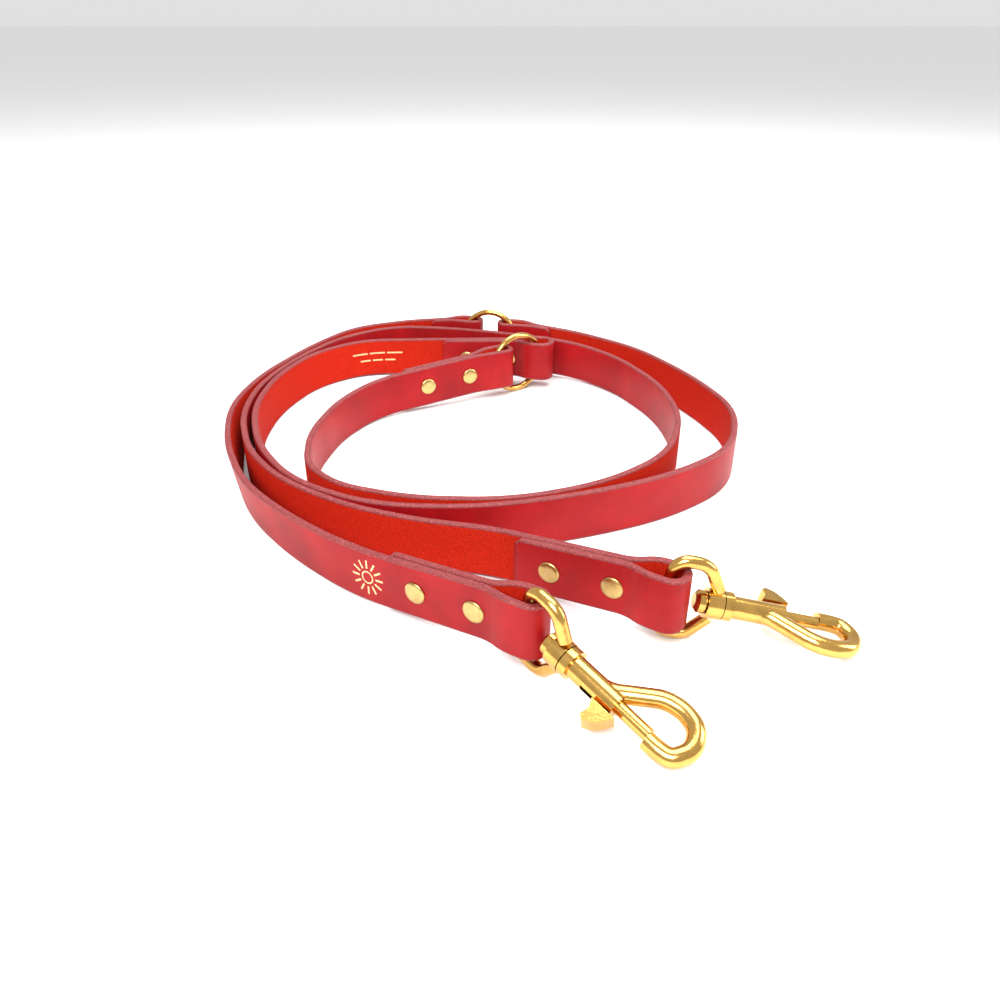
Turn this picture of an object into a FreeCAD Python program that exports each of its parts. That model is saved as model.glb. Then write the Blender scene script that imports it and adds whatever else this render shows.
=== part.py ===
# Training leash stored as an upright coil: three leather straps, two rings and two bolt-snap hooks.
# Millimetres, +Z up, the floor at z = 0, the origin at the middle of the footprint.
import FreeCAD
import Part
import math
import os

V = FreeCAD.Vector
UP = V(0, 0, 1)

doc = FreeCAD.newDocument("training_leash")
sheet = doc.addObject("Spreadsheet::Sheet", "Sizes")
SIZES = {
    "strap_width": 19.0,
    "strap_thickness": 2.6,
    "layer_gap": 0.2,
    "neck_reach": 11.0,
    "abreast_reach": 4.2,
    "ring_mid_radius": 13.5,
    "ring_wire_radius": 1.5,
    "rivet_head_radius": 3.75,
    "rivet_crown_radius": 2.7,
    "rivet_rim_height": 0.45,
    "rivet_crown_height": 0.6,
    "rivet_shank_radius": 1.5,
    "eye_wire_radius": 2.0,
    "eye_half_height": 12.7,
    "eye_block_radius": 4.6,
    "swivel_pin_radius": 2.0,
    "running_clearance": 0.05,
    "tube_radius": 3.5,
    "bolt_radius": 1.95,
    "hook_arm_radius": 2.65,
    "knob_width": 5.2,
}
for row, (word, value) in enumerate(SIZES.items(), start=1):
    sheet.set("A%d" % row, word)
    sheet.set("B%d" % row, str(value))
    sheet.setAlias("B%d" % row, word)
doc.recompute()


def size(word):
    return float(getattr(sheet, word))


WIDTH = size("strap_width")
THICK = size("strap_thickness")
HALF = (THICK + size("layer_gap")) / 2
NECK = size("neck_reach")
ABREAST = size("abreast_reach")

# Middle line of each strap between its two end folds: x, y and the lift of the lower edge off the floor.
ROUTES = {
    "strap_hook_a": [
        (-45.1, -74.1, 0.6), (-69.5, -51.5, 0), (-89.5, -27, 0), (-103.5, 3, 0), (-112.5, 41, 0),
        (-109, 75, 0), (-96, 111, 0), (-76.5, 142, 0.6), (-46.8, 150.4, 1.8)],
    "strap_middle": [
        (42.3, 131.3, 1.8), (71.5, 111, 0.3), (92.5, 73, 0), (104, 35, 0), (93.5, -3, 0),
        (64.5, -26, 0), (30.5, -39.8, 0), (-5.5, -48.6, 0), (-42.5, -46.6, 0), (-73.5, -29, 0),
        (-93.5, 1, 0), (-104, 37, 0), (-102.8, 72, 0), (-91.5, 103.5, 0), (-69.5, 122, 0.3),
        (-37, 121, 1.2)],
    "strap_long": [
        (-54.8, 66.3, 0.6), (-68.5, 43, 0), (-74.5, 11, 0), (-70.5, -16.3, 0), (-56.6, -32, 0),
        (-29, -41.8, 0), (6.5, -43.2, 0), (40.5, -31, 0), (67.5, -8, 0), (79, 27, 0),
        (76, 63, 0), (60.5, 97, 0.3), (40.5, 116.2, 1.2), (10.5, 126.6, 2.2), (-23.5, 136.4, 2.2),
        (-55.5, 142.2, 1.2), (-81.5, 126.5, 0.3), (-98.5, 96, 0), (-108, 63, 0), (-107, 29, 0),
        (-95.5, -4.6, 0), (-76.5, -29.6, 0), (-49.5, -47.6, 0), (-24.5, -57, 0), (-0.6, -62.6, 0.4)],
}
# Each end: bar x, y, lift, side of the main layer, reach, main and tab half gaps, tab length,
# and the distances of its rivets from the bar.
ENDS = {
    "strap_hook_a": [
        ((9.5, -107), 6, -1, 7.4, 4.3, 4.3, 57, (15.5, 37)),
        ((-15.8, 141.9), 5.5, 1, 9.3, 3.9, 3.9, 28, (13.2,))],
    "strap_middle": [
        ((10.4, 135.3), 5.5, -1, 9.3, 3.9, 3.9, 28, (13.2,)),
        ((22.4, 108), 5.5, 1, 7.4, 3.6, 7.2, 57, (15.5, 37))],
    "strap_long": [
        ((0, 93), 5.5, -1, 9.3, 3.9, 3.9, 57, (14.5, 36)),
        ((51, -95), 6, 1, 7.4, 4.7, 4.7, 57, (15.5, 37))],
}
RIVETS = {
    "strap_hook_a": [("rivet_a_1", "rivet_a_2"), ("rivet_r_1",)],
    "strap_middle": [("rivet_r_2",), ("rivet_m_1", "rivet_m_2")],
    "strap_long": [("rivet_c_1", "rivet_c_2"), ("rivet_b_1", "rivet_b_2")],
}


def end_fold(last, end):
    """Points of the main layer's neck, the loop and the tab, and the frame of the fold."""
    bar, lift, side, reach, main_gap, tab_gap, tab, stations = end
    start = V(last[0], last[1], 0)
    post = V(bar[0], bar[1], 0)
    ahead = (post - start).normalize()
    across = V(-ahead.y, ahead.x, 0) * side
    far = (post - start).Length
    top_of_loop = reach - THICK / 2

    def height(back):
        return lift - (lift - last[2]) * back / far

    neck = post - ahead * NECK + across * HALF
    run = (neck - start).normalize()
    tip = neck - across * 2 * HALF - run * (tab - reach - NECK)
    tip.z = height(tab - reach)
    inner = [neck + V(0, 0, height(NECK)), post - ahead * ABREAST + across * main_gap + V(0, 0, lift)]
    loop = [
        post + ahead * top_of_loop + across * main_gap + V(0, 0, lift),
        post + ahead * top_of_loop - across * tab_gap + V(0, 0, lift)]
    outer = [
        post - ahead * ABREAST - across * tab_gap + V(0, 0, lift),
        neck - across * 2 * HALF + V(0, 0, height(NECK)),
        tip]
    spots = []
    for back in stations:
        along = neck - across * HALF - run * (back - NECK)
        spots.append((along + V(0, 0, height(back) + WIDTH / 2), V(-run.y, run.x, 0)))
    return inner, loop, outer, spots


def rounded_wire(points, share=0.45):
    """A wire of straight runs joined by tangent arcs."""
    edges = []
    here = points[0]
    for i in range(1, len(points) - 1):
        before = points[i] - points[i - 1]
        after = points[i + 1] - points[i]
        cut = share * min(before.Length, after.Length)
        turn_in = points[i] - before.normalize() * cut
        turn_out = points[i] + after.normalize() * cut
        turn = before.getAngle(after)
        radius = cut / math.tan(turn / 2)
        middle = (turn_in + turn_out) * 0.5
        to_middle = (middle - points[i]).normalize()
        depth = radius / math.cos(turn / 2) - radius
        edges.append(Part.LineSegment(here, turn_in).toShape())
        edges.append(Part.Arc(turn_in, points[i] + to_middle * depth, turn_out).toShape())
        here = turn_out
    edges.append(Part.LineSegment(here, points[-1]).toShape())
    return Part.Wire(edges)


def strap_shape(name):
    """The strap with both folds, swept upright, and where its rivets go."""
    route = ROUTES[name]
    inner_a, loop_a, outer_a, spots_a = end_fold(route[0], ENDS[name][0])
    inner_b, loop_b, outer_b, spots_b = end_fold(route[-1], ENDS[name][1])
    first_tab = list(reversed(inner_a + loop_a + outer_a))
    points = first_tab + [V(*p) for p in route] + inner_b + loop_b + outer_b
    path = rounded_wire(points)
    start = points[0]
    ahead = points[1] - points[0]
    side = V(-ahead.y, ahead.x, 0).normalize() * (THICK / 2)
    lift = V(0, 0, WIDTH)
    corners = [start + side, start - side, start - side + lift, start + side + lift, start + side]
    section = Part.makePolygon(corners)
    sweep = Part.BRepOffsetAPI.MakePipeShell(path)
    sweep.setBiNormalMode(UP)
    sweep.add(section)
    sweep.build()
    sweep.makeSolid()
    print(name, "length", round(path.Length, 1), "volume ratio",
          round(sweep.shape().Volume / (path.Length * WIDTH * THICK), 4))
    return sweep.shape(), [spots_a, spots_b]


made = []


def keep(obj, label):
    obj.Label = label
    made.append(obj)
    return obj


def add_shape(label, shape, placement=None):
    obj = doc.addObject("Part::Feature", label)
    obj.Shape = shape
    if placement is not None:
        obj.Placement = placement
    return keep(obj, label)


def bound(kind, name, placement, **sizes):
    """A primitive whose sizes follow the sheet."""
    obj = doc.addObject(kind, name)
    obj.Placement = placement
    for prop, words in sizes.items():
        obj.setExpression(prop, words)
    return obj


def rivet(label, spot, normal):
    """A shank through both layers with a flat domed head on each side."""
    place = FreeCAD.Placement(spot, FreeCAD.Rotation(UP, normal))
    flip = FreeCAD.Placement(V(0, 0, 0), FreeCAD.Rotation(V(1, 0, 0), 180))
    face = THICK + size("layer_gap") / 2
    rim = size("rivet_rim_height")
    pieces = []
    shank = bound("Part::Cylinder", label + "_shank", FreeCAD.Placement(V(0, 0, -face), FreeCAD.Rotation()),
                  Radius="Sizes.rivet_shank_radius", Height="2 * Sizes.strap_thickness + Sizes.layer_gap")
    pieces.append(shank)
    for word, turn in (("front", FreeCAD.Placement()), ("back", flip)):
        base = turn.multiply(FreeCAD.Placement(V(0, 0, face), FreeCAD.Rotation()))
        pieces.append(bound("Part::Cylinder", label + "_rim_" + word, base,
                            Radius="Sizes.rivet_head_radius", Height="Sizes.rivet_rim_height"))
        base = turn.multiply(FreeCAD.Placement(V(0, 0, face + rim), FreeCAD.Rotation()))
        pieces.append(bound("Part::Cone", label + "_crown_" + word, base,
                            Radius1="Sizes.rivet_head_radius", Radius2="Sizes.rivet_crown_radius",
                            Height="Sizes.rivet_crown_height"))
    fused = doc.addObject("Part::MultiFuse", label)
    fused.Shapes = pieces
    fused.Placement = place
    doc.recompute()
    return keep(fused, label)


for name in ROUTES:
    leather, spots = strap_shape(name)
    for labels, places in zip(RIVETS[name], spots):
        for label, (spot, normal) in zip(labels, places):
            leather = leather.cut(rivet(label, spot, normal).Shape)
    add_shape(name, leather)

# Rings stand on the floor, each in an upright plane turned about Z.
RINGS = {"ring_1": ((11.2, 100.5), 34), "ring_2": ((-2.7, 138.6), -14)}
for label, (middle, turn) in RINGS.items():
    upright = FreeCAD.Rotation(UP, turn).multiply(FreeCAD.Rotation(V(1, 0, 0), 90))
    height = size("ring_mid_radius") + size("ring_wire_radius")
    place = FreeCAD.Placement(V(middle[0], middle[1], height), upright)
    keep(bound("Part::Torus", label, place, Radius1="Sizes.ring_mid_radius",
               Radius2="Sizes.ring_wire_radius"), label)

# Hook sizes along its own axis, measured from the middle of the eye's bar.
BLOCK_START = 12.4
BLOCK_END = 17.2
HEAD_START = 9.0
FLANGE_START = 17.5
FLANGE_END = 20.2
TUBE_END = 36.5
BORE_START = 22.0
BOLT_START = 29.5
BOLT_END = 47.2
NOSE_END = 47.5
TRAVEL = 7.0
NECK_START = 33.0
NECK_END = 35.2
NECK_HALF = 1.0
SLOT_SPARE = 0.4
RUN = size("running_clearance")
ALONG = V(1, 0, 0)


def rod(start, end, radius):
    return Part.makeCylinder(radius, end - start, V(start, 0, 0), ALONG)


def pipe(points, radius):
    """A round bar swept along straight runs and arcs."""
    path = rounded_wire(points)
    ahead = points[1] - points[0]
    ring = Part.Wire([Part.makeCircle(radius, points[0], ahead)])
    return path.makePipeShell([ring], True, False)


def eye_shape():
    """Straight bar, two arms that close in on the swivel block, and the block's bore."""
    tall = size("eye_half_height")
    bend = 2.6
    corners = [V(BLOCK_START + 2.8, 0, -5), V(9.8, 0, -tall - 0.1), V(bend, 0, -tall),
               V(0, 0, -tall + bend), V(0, 0, tall - bend), V(bend, 0, tall),
               V(9.8, 0, tall + 0.1), V(BLOCK_START + 2.8, 0, 5)]
    wire = pipe(corners, size("eye_wire_radius"))
    block = rod(BLOCK_START, BLOCK_END, size("eye_block_radius"))
    room = rod(HEAD_START - 0.5, BLOCK_START, size("tube_radius") + 0.5)
    bore = rod(BLOCK_START - 1, BLOCK_END + 1, size("swivel_pin_radius") + RUN)
    return wire.fuse(block).cut(room).cut(bore).removeSplitter()


def body_shape():
    """Swivel pin with its head, flange, shank tube and the curved hook with its nose."""
    pin = rod(HEAD_START + 1.5, FLANGE_START + 1, size("swivel_pin_radius"))
    head = rod(HEAD_START + 1.1, BLOCK_START - 0.3, size("tube_radius"))
    crown = Part.makeCone(2.2, size("tube_radius"), 1.1, V(HEAD_START, 0, 0), ALONG)
    flange = rod(FLANGE_START, FLANGE_END, 4.5)
    tube = rod(FLANGE_END - 0.5, TUBE_END, size("tube_radius"))
    curve = [V(26, 0.6, 0), V(32, 1.2, 0), V(38, 6, 0), V(43.5, 10.3, 0), V(49, 11.4, 0),
             V(54.5, 10, 0), V(57.4, 4.6, 0), V(55, -0.6, 0), V(51.2, -1.3, 0), V(NOSE_END, -1.3, 0)]
    arm = pipe(curve, size("hook_arm_radius"))
    bore = rod(BORE_START, TUBE_END + 3, size("bolt_radius") + RUN)
    slot = Part.makeBox(NECK_END - NECK_START + TRAVEL + 2 * SLOT_SPARE, 5, 2 * (NECK_HALF + 0.3))
    slot.translate(V(NECK_START - TRAVEL - SLOT_SPARE, -5, -(NECK_HALF + 0.3)))
    whole = pin.fuse([head, crown, flange, tube, arm])
    return whole.cut(bore).cut(slot).removeSplitter()


def knob_shape():
    """Thumb knob: a shark-fin pad on a neck that stands on the bolt."""
    wide = size("knob_width")
    outline = [V(30.6, -3.9, 0), V(38.6, -3.9, 0), V(37.6, -6.2, 0), V(35.6, -8.8, 0),
               V(33.0, -10.2, 0), V(31.6, -9.2, 0), V(32.0, -6.4, 0), V(30.6, -3.9, 0)]
    pad = Part.Face(Part.makePolygon(outline)).extrude(V(0, 0, wide))
    pad.translate(V(0, 0, -wide / 2))
    neck = Part.makeBox(NECK_END - NECK_START, 4.2, 2 * NECK_HALF, V(NECK_START, -4.6, -NECK_HALF))
    return pad.fuse(neck).cut(rod(BOLT_START, BOLT_END, size("bolt_radius"))).removeSplitter()


def hook(tag, bar, height, azimuth, dip, roll):
    """All four pieces of one bolt snap, placed by its bar, heading, dip and roll."""
    heading = FreeCAD.Rotation(UP, azimuth).multiply(FreeCAD.Rotation(V(0, 1, 0), dip))
    level = FreeCAD.Placement(V(bar[0], bar[1], height), heading)
    rolled = FreeCAD.Placement(V(bar[0], bar[1], height), heading.multiply(FreeCAD.Rotation(ALONG, roll)))
    add_shape("hook_%s_eye" % tag, eye_shape(), level)
    add_shape("hook_%s_body" % tag, body_shape(), rolled)
    along = rolled.multiply(FreeCAD.Placement(V(BOLT_START, 0, 0), FreeCAD.Rotation(V(0, 1, 0), 90)))
    bolt = bound("Part::Cylinder", "hook_%s_bolt" % tag, along, Radius="Sizes.bolt_radius")
    bolt.Height = BOLT_END - BOLT_START
    keep(bolt, "hook_%s_bolt" % tag)
    add_shape("hook_%s_knob" % tag, knob_shape(), rolled)


# Hook B lies with its spine towards the front, so it is turned over about its own axis.
HOOKS = {"a": ((9.5, -107), 16, -48, 12.5, 18), "b": ((51, -95), 16, -2, 11.8, 180)}
for tag, (bar, height, azimuth, dip, roll) in HOOKS.items():
    hook(tag, bar, height, azimuth, dip, roll)

doc.recompute()
for obj in doc.Objects:
    if "Invalid" in obj.State or "Error" in obj.State:
        raise RuntimeError("%s: %s" % (obj.Name, obj.State))
os.makedirs("parts", exist_ok=True)
whole = None
for obj in made:
    if obj.Shape.isNull() or not obj.Shape.isValid():
        raise RuntimeError("bad shape: " + obj.Label)
    if len(obj.Shape.Solids) != 1:
        raise RuntimeError("%s has %d solids" % (obj.Label, len(obj.Shape.Solids)))
    box = obj.Shape.BoundBox
    if whole is None:
        whole = FreeCAD.BoundBox(box)
    whole.add(box)
    print(obj.Label, round(obj.Shape.Volume, 1), "x %.2f %.2f y %.2f %.2f z %.2f %.2f" % (
        box.XMin, box.XMax, box.YMin, box.YMax, box.ZMin, box.ZMax))
    obj.Shape.exportStep("parts/%s.step" % obj.Label)
print("whole x %.2f %.2f y %.2f %.2f z %.2f %.2f" % (
    whole.XMin, whole.XMax, whole.YMin, whole.YMax, whole.ZMin, whole.ZMax))
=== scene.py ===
# Look of the training leash: leather straps, rivets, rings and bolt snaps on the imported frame.
# Metres, in the frame's own axes; sizes are written in millimetres and multiplied by MM.
import math

import bmesh
import bpy
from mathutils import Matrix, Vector


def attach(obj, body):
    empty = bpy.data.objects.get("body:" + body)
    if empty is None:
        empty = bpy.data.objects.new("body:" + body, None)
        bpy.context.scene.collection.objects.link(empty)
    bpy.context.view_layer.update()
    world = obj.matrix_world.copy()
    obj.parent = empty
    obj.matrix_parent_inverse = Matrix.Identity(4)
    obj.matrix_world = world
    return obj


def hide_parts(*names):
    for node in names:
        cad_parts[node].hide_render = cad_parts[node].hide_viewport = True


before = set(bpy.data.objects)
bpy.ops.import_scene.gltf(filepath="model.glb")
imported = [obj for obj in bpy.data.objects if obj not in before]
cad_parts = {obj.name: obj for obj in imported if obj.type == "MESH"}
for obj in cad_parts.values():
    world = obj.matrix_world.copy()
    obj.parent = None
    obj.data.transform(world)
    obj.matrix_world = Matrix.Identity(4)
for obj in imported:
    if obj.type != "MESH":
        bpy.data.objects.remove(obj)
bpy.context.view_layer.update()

MM = 0.001
UP = Vector((0, 0, 1))

WIDTH = 19.0
THICK = 2.6
LAYER_GAP = 0.2
HALF = (THICK + LAYER_GAP) / 2
NECK = 11.0
ABREAST = 4.2
EDGE_ROUND = 0.8
CORNER_POINTS = 5
TIP_CLIP = 1.6
LEAN_DEGREES = 8.0
RIVET_HEAD_RADIUS = 3.75
RIVET_SHANK_RADIUS = 1.5
RIVET_RIM = 0.15
RIVET_DOME = 0.85

ROUTES = {
    "strap_hook_a": [
        (-45.1, -74.1, 0.6), (-69.5, -51.5, 0), (-89.5, -27, 0), (-103.5, 3, 0), (-112.5, 41, 0),
        (-109, 75, 0), (-96, 111, 0), (-76.5, 142, 0.6), (-46.8, 150.4, 1.8)],
    "strap_middle": [
        (42.3, 131.3, 1.8), (71.5, 111, 0.3), (92.5, 73, 0), (104, 35, 0), (93.5, -3, 0),
        (64.5, -26, 0), (30.5, -39.8, 0), (-5.5, -48.6, 0), (-42.5, -46.6, 0), (-73.5, -29, 0),
        (-93.5, 1, 0), (-104, 37, 0), (-102.8, 72, 0), (-91.5, 103.5, 0), (-69.5, 122, 0.3),
        (-37, 121, 1.2)],
    "strap_long": [
        (-54.8, 66.3, 0.6), (-68.5, 43, 0), (-74.5, 11, 0), (-70.5, -16.3, 0), (-56.6, -32, 0),
        (-29, -41.8, 0), (6.5, -43.2, 0), (40.5, -31, 0), (67.5, -8, 0), (79, 27, 0),
        (76, 63, 0), (60.5, 97, 0.3), (40.5, 116.2, 1.2), (10.5, 126.6, 2.2), (-23.5, 136.4, 2.2),
        (-55.5, 142.2, 1.2), (-81.5, 126.5, 0.3), (-98.5, 96, 0), (-108, 63, 0), (-107, 29, 0),
        (-95.5, -4.6, 0), (-76.5, -29.6, 0), (-49.5, -47.6, 0), (-24.5, -57, 0), (-0.6, -62.6, 0.4)],
}
# Each end: bar x, y, lift, side of the main layer, reach, main and tab half gaps, tab length,
# and the distances of its rivets from the bar.
ENDS = {
    "strap_hook_a": [
        ((9.5, -107), 6, -1, 7.4, 4.3, 4.3, 57, (15.5, 37)),
        ((-15.8, 141.9), 5.5, 1, 9.3, 3.9, 3.9, 28, (13.2,))],
    "strap_middle": [
        ((10.4, 135.3), 5.5, -1, 9.3, 3.9, 3.9, 28, (13.2,)),
        ((22.4, 108), 5.5, 1, 7.4, 3.6, 7.2, 57, (15.5, 37))],
    "strap_long": [
        ((0, 93), 5.5, -1, 9.3, 3.9, 3.9, 57, (14.5, 36)),
        ((51, -95), 6, 1, 7.4, 4.7, 4.7, 57, (15.5, 37))],
}
# Names of the rivets at each end of each strap.
RIVETS = {
    "strap_hook_a": [("rivet_a_1", "rivet_a_2"), ("rivet_r_1",)],
    "strap_middle": [("rivet_r_2",), ("rivet_m_1", "rivet_m_2")],
    "strap_long": [("rivet_c_1", "rivet_c_2"), ("rivet_b_1", "rivet_b_2")],
}


# ---------------------------------------------------------------- materials
class Shader:
    """Adds nodes to one material and links them."""

    def __init__(self, name):
        self.material = bpy.data.materials.new(name)
        self.material.use_nodes = True
        self.tree = self.material.node_tree
        self.main = self.tree.nodes["Principled BSDF"]

    def add(self, kind, **inputs):
        node = self.tree.nodes.new(kind)
        for word, value in inputs.items():
            node.inputs[word.replace("_", " ")].default_value = value
        return node

    def link(self, source, target):
        self.tree.links.new(source, target)

    def shine(self, **inputs):
        """Sets constant values on the surface's own sockets."""
        for word, value in inputs.items():
            self.main.inputs[word.replace("_", " ")].default_value = value

    def noise(self, scale, detail=4.0, rough=0.6):
        place = self.add("ShaderNodeTexCoord")
        node = self.add("ShaderNodeTexNoise", Scale=scale, Detail=detail, Roughness=rough)
        self.link(place.outputs["Object"], node.inputs["Vector"])
        return node.outputs["Fac"]

    def ramp(self, source, edge_tone_and_highlight_stops):
        node = self.add("ShaderNodeValToRGB")
        ends = node.color_ramp.elements
        while len(ends) < len(edge_tone_and_highlight_stops):
            ends.new(0.5)
        for end, (at, colour) in zip(ends, edge_tone_and_highlight_stops):
            end.position = at
            end.color = (*colour, 1)
        self.link(source, node.inputs["Fac"])
        return node.outputs["Color"]

    def bump(self, source, depth, strength):
        node = self.add("ShaderNodeBump", Distance=depth, Strength=strength)
        self.link(source, node.inputs["Height"])
        self.link(node.outputs["Normal"], self.main.inputs["Normal"])


def grain_leather():
    s = Shader("leather_grain")
    broad = s.noise(55, 3)
    s.link(s.ramp(broad, [(0.3, (0.23, 0.002, 0.004)), (0.7, (0.36, 0.004, 0.006))]),
           s.main.inputs["Base Color"])
    s.shine(Roughness=0.48, Specular_IOR_Level=0.22)
    s.bump(s.noise(1500, 4), 0.0002, 0.25)
    return s.material


def flesh_leather():
    s = Shader("leather_flesh")
    s.link(s.ramp(s.noise(2600, 5, 0.75), [(0.36, (0.24, 0.005, 0.002)), (0.64, (0.62, 0.022, 0.004))]),
           s.main.inputs["Base Color"])
    s.shine(Roughness=0.85, Specular_IOR_Level=0.12)
    s.bump(s.noise(2200, 6, 0.8), 0.0004, 0.35)
    return s.material


def edge_leather():
    s = Shader("leather_edge")
    # The two dark stops are the edge's own burnished tone. The pale pink top stop is a painted
    # highlight: speckles standing in for the shine along the edges.
    edge_tone_and_highlight_stops = [(0.42, (0.10, 0.004, 0.005)), (0.56, (0.26, 0.018, 0.020)), (0.68, (0.80, 0.30, 0.30))]
    s.link(s.ramp(s.noise(2400, 6, 0.85), edge_tone_and_highlight_stops), s.main.inputs["Base Color"])
    s.shine(Roughness=0.5)
    s.bump(s.noise(2600, 5, 0.8), 0.0004, 0.5)
    return s.material


def brass_metal(name, colour, rough, streak):
    s = Shader(name)
    fine = s.noise(streak, 5, 0.7)
    dark = tuple(c * 0.72 for c in colour)
    s.link(s.ramp(fine, [(0.3, dark), (0.6, colour)]), s.main.inputs["Base Color"])
    s.shine(Metallic=1, Roughness=rough)
    s.bump(s.noise(420, 4), 0.0003, 0.15)
    return s.material


def foil_metal():
    s = Shader("gold_foil")
    s.link(s.ramp(s.noise(3000, 3), [(0.35, (0.62, 0.30, 0.12)), (0.6, (0.95, 0.72, 0.40))]),
           s.main.inputs["Base Color"])
    s.shine(Metallic=0.55, Roughness=0.42)
    return s.material


GRAIN = grain_leather()
FLESH = flesh_leather()
EDGE = edge_leather()
BRASS = brass_metal("brass_cast", (0.72, 0.42, 0.11), 0.17, 160)
RIVET_BRASS = brass_metal("brass_rivet", (0.60, 0.42, 0.16), 0.30, 420)
FOIL = foil_metal()


# ---------------------------------------------------------------- strap routes
def end_fold(last, end):
    """Points of the neck, loop and tab at one end, and each rivet's place and facing."""
    bar, lift, side, reach, main_gap, tab_gap, tab, stations = end
    start = Vector((last[0], last[1], 0))
    post = Vector((bar[0], bar[1], 0))
    ahead = (post - start).normalized()
    across = Vector((-ahead.y, ahead.x, 0)) * side
    far = (post - start).length
    top_of_loop = reach - THICK / 2

    def height(back):
        return UP * (lift - (lift - last[2]) * back / far)

    neck = post - ahead * NECK + across * HALF
    run = (neck - start).normalized()
    tip = neck - across * 2 * HALF - run * (tab - reach - NECK)
    inner = [neck + height(NECK), post - ahead * ABREAST + across * main_gap + UP * lift]
    loop = [
        post + ahead * top_of_loop + across * main_gap + UP * lift,
        post + ahead * top_of_loop - across * tab_gap + UP * lift]
    outer = [
        post - ahead * ABREAST - across * tab_gap + UP * lift,
        neck - across * 2 * HALF + height(NECK),
        tip + height(tab - reach)]
    spots = []
    for back in stations:
        along = neck - across * HALF - run * (back - NECK)
        spots.append((along + height(back) + UP * (WIDTH / 2), Vector((-run.y, run.x, 0))))
    return inner, loop, outer, spots


def rounded_path(points, step=1.0, share=0.45):
    """Straight runs joined by tangent arcs, as evenly spaced points."""
    out = [points[0]]
    for i in range(1, len(points) - 1):
        before = points[i] - points[i - 1]
        after = points[i + 1] - points[i]
        cut = share * min(before.length, after.length)
        turn = before.angle(after)
        radius = cut / math.tan(turn / 2)
        enter = points[i] - before.normalized() * cut
        inward = (after.normalized() - before.normalized()).normalized()
        centre = points[i] + inward * (radius / math.cos(turn / 2))
        spoke = enter - centre
        forward = before.normalized() * radius
        count = max(3, int(turn * radius / step), int(math.degrees(turn) / 6))
        for k in range(count + 1):
            a = turn * k / count
            out.append(centre + spoke * math.cos(a) + forward * math.sin(a))
    out.append(points[-1])
    even = [out[0]]
    for a, b in zip(out, out[1:]):
        gap = (b - a).length
        for k in range(1, int(gap / (2 * step)) + 1):
            if gap > 2 * step:
                even.append(a.lerp(b, k / (int(gap / (2 * step)) + 1)))
        even.append(b)
    return even


def lean_at(name, point):
    """How far the strap's top tips outwards there, in degrees: only the left of the front turn does."""
    if name != "strap_hook_a":
        return 0.0
    left = min(1, max(0, (-point.x - 45) / 40))
    back = min(1, max(0, (95 - point.y) / 70))
    return LEAN_DEGREES * left * back


class Strap:
    """One strap's path and its facing at every point."""

    def __init__(self, name):
        self.name = name
        route = ROUTES[name]
        inner_a, loop_a, outer_a, spots_a = end_fold(route[0], ENDS[name][0])
        inner_b, loop_b, outer_b, spots_b = end_fold(route[-1], ENDS[name][1])
        points = list(reversed(inner_a + loop_a + outer_a)) + [Vector(p) for p in route]
        points += inner_b + loop_b + outer_b
        self.path = rounded_path(points)
        self.spots = [spots_a, spots_b]
        self.posts = [inner_a[1], inner_b[1]]
        self.along = [0.0]
        for a, b in zip(self.path, self.path[1:]):
            self.along.append(self.along[-1] + (b - a).length)
        self.left = []
        last = len(self.path) - 1
        for i in range(last + 1):
            run = self.path[min(last, i + 1)] - self.path[max(0, i - 1)]
            self.left.append(Vector((-run.y, run.x, 0)).normalized())

    def at(self, distance):
        """Foot of the strap and its left-hand facing at a distance from its first tip."""
        distance = min(max(distance, 0), self.along[-1])
        i = 0
        while i < len(self.along) - 2 and self.along[i + 1] < distance:
            i += 1
        part = (distance - self.along[i]) / (self.along[i + 1] - self.along[i])
        return (self.path[i].lerp(self.path[i + 1], part),
                self.left[i].lerp(self.left[i + 1], part).normalized())

    def point(self, distance, height, off_middle):
        foot, left = self.at(distance)
        return self.stand(foot, left, height, off_middle)

    def stand(self, foot, left, height, off_middle):
        tip = math.radians(lean_at(self.name, foot))
        rise = UP * math.cos(tip) + left * math.sin(tip)
        side = left * math.cos(tip) - UP * math.sin(tip)
        return foot + rise * height + side * off_middle

    def nearest(self, spot):
        """Distance along the strap of the point nearest to a place."""
        flat = Vector((spot.x, spot.y))
        i = min(range(len(self.path)), key=lambda k: (Vector(self.path[k][:2]) - flat).length)
        return self.along[i]


    def main_line(self):
        """Middle line of the strap between its two end bars, without the folds' loops and tabs."""
        first, last = (self.along.index(self.nearest(post)) for post in self.posts)
        line = self.path[first:last + 1]
        for at_start, end in zip((True, False), ENDS[self.name]):
            bar = Vector((*end[0], end[1]))
            inner = line[0] if at_start else line[-1]
            ahead = (bar - inner).normalized()
            beyond = [bar, bar + ahead * 2.5]
            line = beyond[::-1] + line if at_start else line + beyond
        return [(foot + UP * (WIDTH / 2)) * MM for foot in line]


def section():
    """Strap cross-section with rounded edges: (across, height) points from the grain side's top."""
    inset = THICK / 2 - EDGE_ROUND
    high = WIDTH - EDGE_ROUND
    out = []
    corners = [(inset, high), (-inset, high), (-inset, EDGE_ROUND), (inset, EDGE_ROUND)]
    for quarter, (x, z) in enumerate(corners):
        for k in range(CORNER_POINTS):
            a = math.radians(90 * (quarter + k / (CORNER_POINTS - 1)))
            out.append((x + EDGE_ROUND * math.cos(a), z + EDGE_ROUND * math.sin(a)))
    return out


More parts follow.
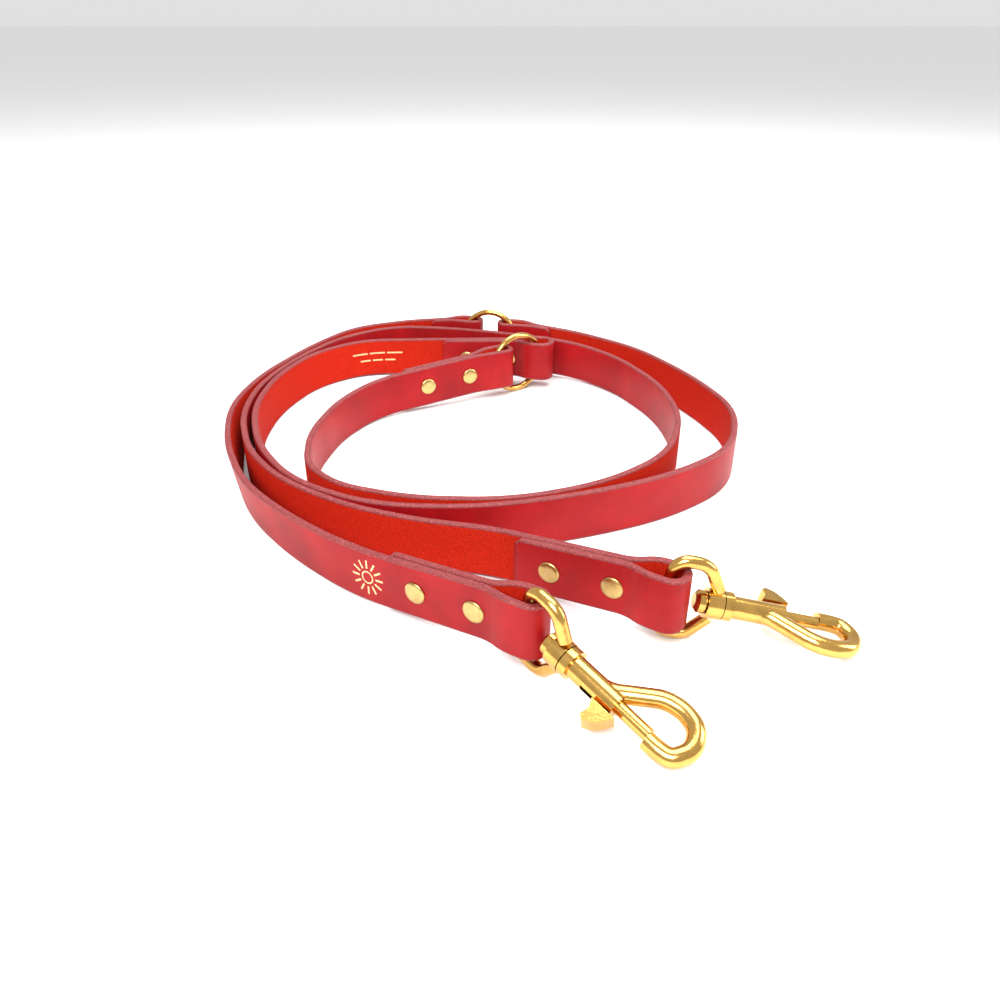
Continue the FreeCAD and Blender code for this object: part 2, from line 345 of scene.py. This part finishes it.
def build_strap(strap):
    """One strap's mesh: grain on the left of its path, flesh on the right, and the edges between."""
    ring = section()
    flesh_face = 2 * CORNER_POINTS - 1
    grain_face = 4 * CORNER_POINTS - 1
    mesh = bmesh.new()
    rows = []
    total = strap.along[-1]
    for foot, left, s in zip(strap.path, strap.left, strap.along):
        near_tip = min(s, total - s)
        clip = max(0, TIP_CLIP - near_tip)
        row = []
        for across, height in ring:
            squeezed = WIDTH / 2 + (height - WIDTH / 2) * (1 - clip / (WIDTH / 2))
            row.append(mesh.verts.new(strap.stand(foot, left, squeezed, across) * MM))
        rows.append(row)
    count = len(ring)
    for a, b in zip(rows, rows[1:]):
        for i in range(count):
            j = (i + 1) % count
            face = mesh.faces.new((a[i], a[j], b[j], b[i]))
            face.smooth = True
            face.material_index = {grain_face: 0, flesh_face: 1}.get(i, 2)
    for row in (rows[0], rows[-1]):
        face = mesh.faces.new(row)
        face.material_index = 2
    bmesh.ops.recalc_face_normals(mesh, faces=mesh.faces)
    data = bpy.data.meshes.new(strap.name + "_leather")
    mesh.to_mesh(data)
    mesh.free()
    for m in (GRAIN, FLESH, EDGE):
        data.materials.append(m)
    obj = bpy.data.objects.new(strap.name + "_leather", data)
    bpy.context.scene.collection.objects.link(obj)
    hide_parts(strap.name)
    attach(obj, "leather")
    line = strap.main_line()


def mesh_object(name, body, material, vertices, faces, smooth=True):
    """A named mesh from points in millimetres, riding on a CAD body."""
    data = bpy.data.meshes.new(name)
    data.from_pydata([v * MM for v in vertices], [], faces)
    data.materials.append(material)
    for p in data.polygons:
        p.use_smooth = smooth
    data.update()
    obj = bpy.data.objects.new(name, data)
    bpy.context.scene.collection.objects.link(obj)
    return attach(obj, body)


def turned(name, body, profile, place, axis, material, sides=48):
    """A solid of revolution from (distance along axis, radius) pairs; both ends close on the axis."""
    axis = axis.normalized()
    u = axis.orthogonal().normalized()
    v = axis.cross(u)
    vertices = []
    faces = []
    for along, radius in profile:
        for k in range(sides):
            a = 2 * math.pi * k / sides
            vertices.append(place + axis * along + (u * math.cos(a) + v * math.sin(a)) * radius)
    for r in range(len(profile) - 1):
        for k in range(sides):
            n = (k + 1) % sides
            faces.append((r * sides + k, r * sides + n, (r + 1) * sides + n, (r + 1) * sides + k))
    faces.append(tuple(reversed(range(sides))))
    faces.append(tuple(range((len(profile) - 1) * sides, len(profile) * sides)))
    return mesh_object(name, body, material, vertices, faces)


def build_rivet(label, spot, facing):
    """Flat domed head on each face, joined by the shank."""
    face = THICK + LAYER_GAP / 2
    sunk = 0.02
    steps = 8
    flatness = 0.55
    dome = []
    for k in range(steps + 1):
        a = math.radians(90 * k / steps)
        radius = RIVET_HEAD_RADIUS * math.cos(a) ** flatness if k < steps else sunk
        dome.append((face + RIVET_RIM + RIVET_DOME * math.sin(a), radius))
    head = [(face - 0.5, RIVET_SHANK_RADIUS), (face - sunk, RIVET_SHANK_RADIUS),
            (face - sunk, RIVET_HEAD_RADIUS - 0.05)] + dome
    profile = [(-along, radius) for along, radius in reversed(head)] + head
    obj = turned(label + "_brass", "leather", profile, spot, facing, RIVET_BRASS)
    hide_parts(label)


straps = {name: Strap(name) for name in ROUTES}
for name, strap in straps.items():
    build_strap(strap)
    for labels, places in zip(RIVETS[name], strap.spots):
        for label, (spot, facing) in zip(labels, places):
            build_rivet(label, spot, facing)

# ---------------------------------------------------------------- foil marks
FOIL_LIFT = 0.04


def foil_patch(strap, middle, side, outline):
    """A thin patch on the strap's face; the outline is (along, up) from the patch's middle."""
    return [strap.point(middle + along, WIDTH / 2 + up, side * (THICK / 2 + FOIL_LIFT))
            for along, up in outline]


def foil_bar(strap, middle, side, start, end, thick, vertices, faces):
    """A straight bar between two (along, up) points, in short steps so that it follows the bend."""
    steps = 6
    run = Vector((end[0] - start[0], end[1] - start[1]))
    across = Vector((-run.y, run.x)).normalized() * thick / 2
    first = len(vertices)
    for k in range(steps + 1):
        centre = Vector(start) + run * k / steps
        vertices.extend(foil_patch(strap, middle, side, [centre + across, centre - across]))
    for k in range(steps):
        a = first + 2 * k
        faces.append((a, a + 1, a + 3, a + 2))


def build_foil():
    """A plain rosette on the front strap and two plain lines inside the middle strap."""
    vertices = []
    faces = []
    front = straps["strap_hook_a"]
    place = front.nearest(front.spots[0][1][0] + Vector((-16, 11, 0)))
    rays = 12
    for k in range(rays):
        a = 2 * math.pi * k / rays
        ray = Vector((math.cos(a), math.sin(a)))
        foil_bar(front, place, 1, ray * 3.4, ray * 6.4, 0.7, vertices, faces)
        turn = math.pi * 2 / rays
        chord = Vector((math.cos(a + turn), math.sin(a + turn)))
        foil_bar(front, place, 1, ray * 2.2, chord * 2.2, 0.5, vertices, faces)
    mesh_object("foil_rosette", "leather", FOIL, vertices, faces, False)
    vertices = []
    faces = []
    inside = straps["strap_middle"]
    place = inside.nearest(Vector((-62, 122, 0)))
    for up, half_length in ((2.6, 14), (-1.2, 10)):
        dashes = 3
        for k in range(dashes):
            left = -half_length + 2 * half_length * k / dashes + 0.6
            right = -half_length + 2 * half_length * (k + 1) / dashes - 0.6
            foil_bar(inside, place, -1, (left, up), (right, up), 0.8, vertices, faces)
    mesh_object("foil_lines", "leather", FOIL, vertices, faces, False)


build_foil()

# ---------------------------------------------------------------- rings
RINGS = {"ring_1": ((11.2, 100.5), 34), "ring_2": ((-2.7, 138.6), -14)}
RING_RADIUS = 13.5
WIRE_RADIUS = 1.5


def build_ring(label, middle, turn):
    """A round wire ring that stands upright on the floor."""
    along = Vector((math.cos(math.radians(turn)), math.sin(math.radians(turn)), 0))
    facing = Vector((-along.y, along.x, 0))
    centre = Vector((middle[0], middle[1], RING_RADIUS + WIRE_RADIUS))
    around = 120
    sides = 20
    vertices = []
    faces = []
    for i in range(around):
        a = 2 * math.pi * i / around
        out = along * math.cos(a) + UP * math.sin(a)
        for k in range(sides):
            b = 2 * math.pi * k / sides
            vertices.append(centre + out * (RING_RADIUS + WIRE_RADIUS * math.cos(b))
                            + facing * WIRE_RADIUS * math.sin(b))
    for i in range(around):
        for k in range(sides):
            n = (k + 1) % sides
            j = (i + 1) % around
            faces.append((i * sides + k, j * sides + k, j * sides + n, i * sides + n))
    obj = mesh_object(label + "_brass", label, BRASS, vertices, faces)
    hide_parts(label)


for label, (middle, turn) in RINGS.items():
    build_ring(label, middle, turn)

# ---------------------------------------------------------------- hooks
for tag in "ab":
    for word in ("eye", "body", "bolt", "knob"):
        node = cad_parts["hook_%s_%s" % (tag, word)]
        node.data.materials.clear()
        node.data.materials.append(BRASS)

# ---------------------------------------------------------------- stage
floor_data = bpy.data.meshes.new("floor")
FLOOR_HALF = 40
corners = [(x * FLOOR_HALF, y * FLOOR_HALF, 0) for x, y in ((-1, -1), (1, -1), (1, 1), (-1, 1))]
floor_data.from_pydata(corners, [], [(0, 1, 2, 3)])
floor = bpy.data.objects.new("floor", floor_data)
bpy.context.scene.collection.objects.link(floor)
floor_shader = Shader("floor")
floor_shader.shine(Base_Color=(0.93, 0.93, 0.93, 1), Roughness=0.9, Specular_IOR_Level=0.1)
floor_data.materials.append(floor_shader.material)

world = bpy.data.worlds.new("studio")
bpy.context.scene.world = world
world.use_nodes = True
sky = world.node_tree.nodes["Background"].inputs
sky["Color"].default_value = (1, 1, 1, 1)
sky["Strength"].default_value = 0.75


def area_light(name, place, target, width, height, power):
    """A soft rectangular lamp aimed at a point."""
    data = bpy.data.lights.new(name, "AREA")
    data.shape = "RECTANGLE"
    data.size = width
    data.size_y = height
    data.energy = power
    obj = bpy.data.objects.new(name, data)
    obj.location = place
    obj.rotation_mode = "QUATERNION"
    obj.rotation_quaternion = (Vector(target) - Vector(place)).to_track_quat("-Z", "Y")
    bpy.context.scene.collection.objects.link(obj)


area_light("key", (-0.25, -0.75, 0.85), (0, 0, 0), 0.6, 0.5, 14)
area_light("top", (0.15, 0.25, 1.0), (0, 0.02, 0), 0.9, 0.7, 13)
area_light("side", (0.95, -0.1, 0.45), (0, 0, 0), 0.35, 0.6, 5)

camera_data = bpy.data.cameras.new("camera")
camera_data.lens = 29.81
camera_data.sensor_width = 36
camera = bpy.data.objects.new("camera", camera_data)
camera.location = (0.0025, -0.293, 0.1624)
camera.rotation_euler = (math.radians(60), 0, 0)
camera_data.clip_start = 0.005
camera_data.clip_end = 200
bpy.context.scene.collection.objects.link(camera)
bpy.context.scene.camera = camera

bpy.context.scene.view_settings.view_transform = "Standard"
bpy.context.scene.view_settings.look = "None"
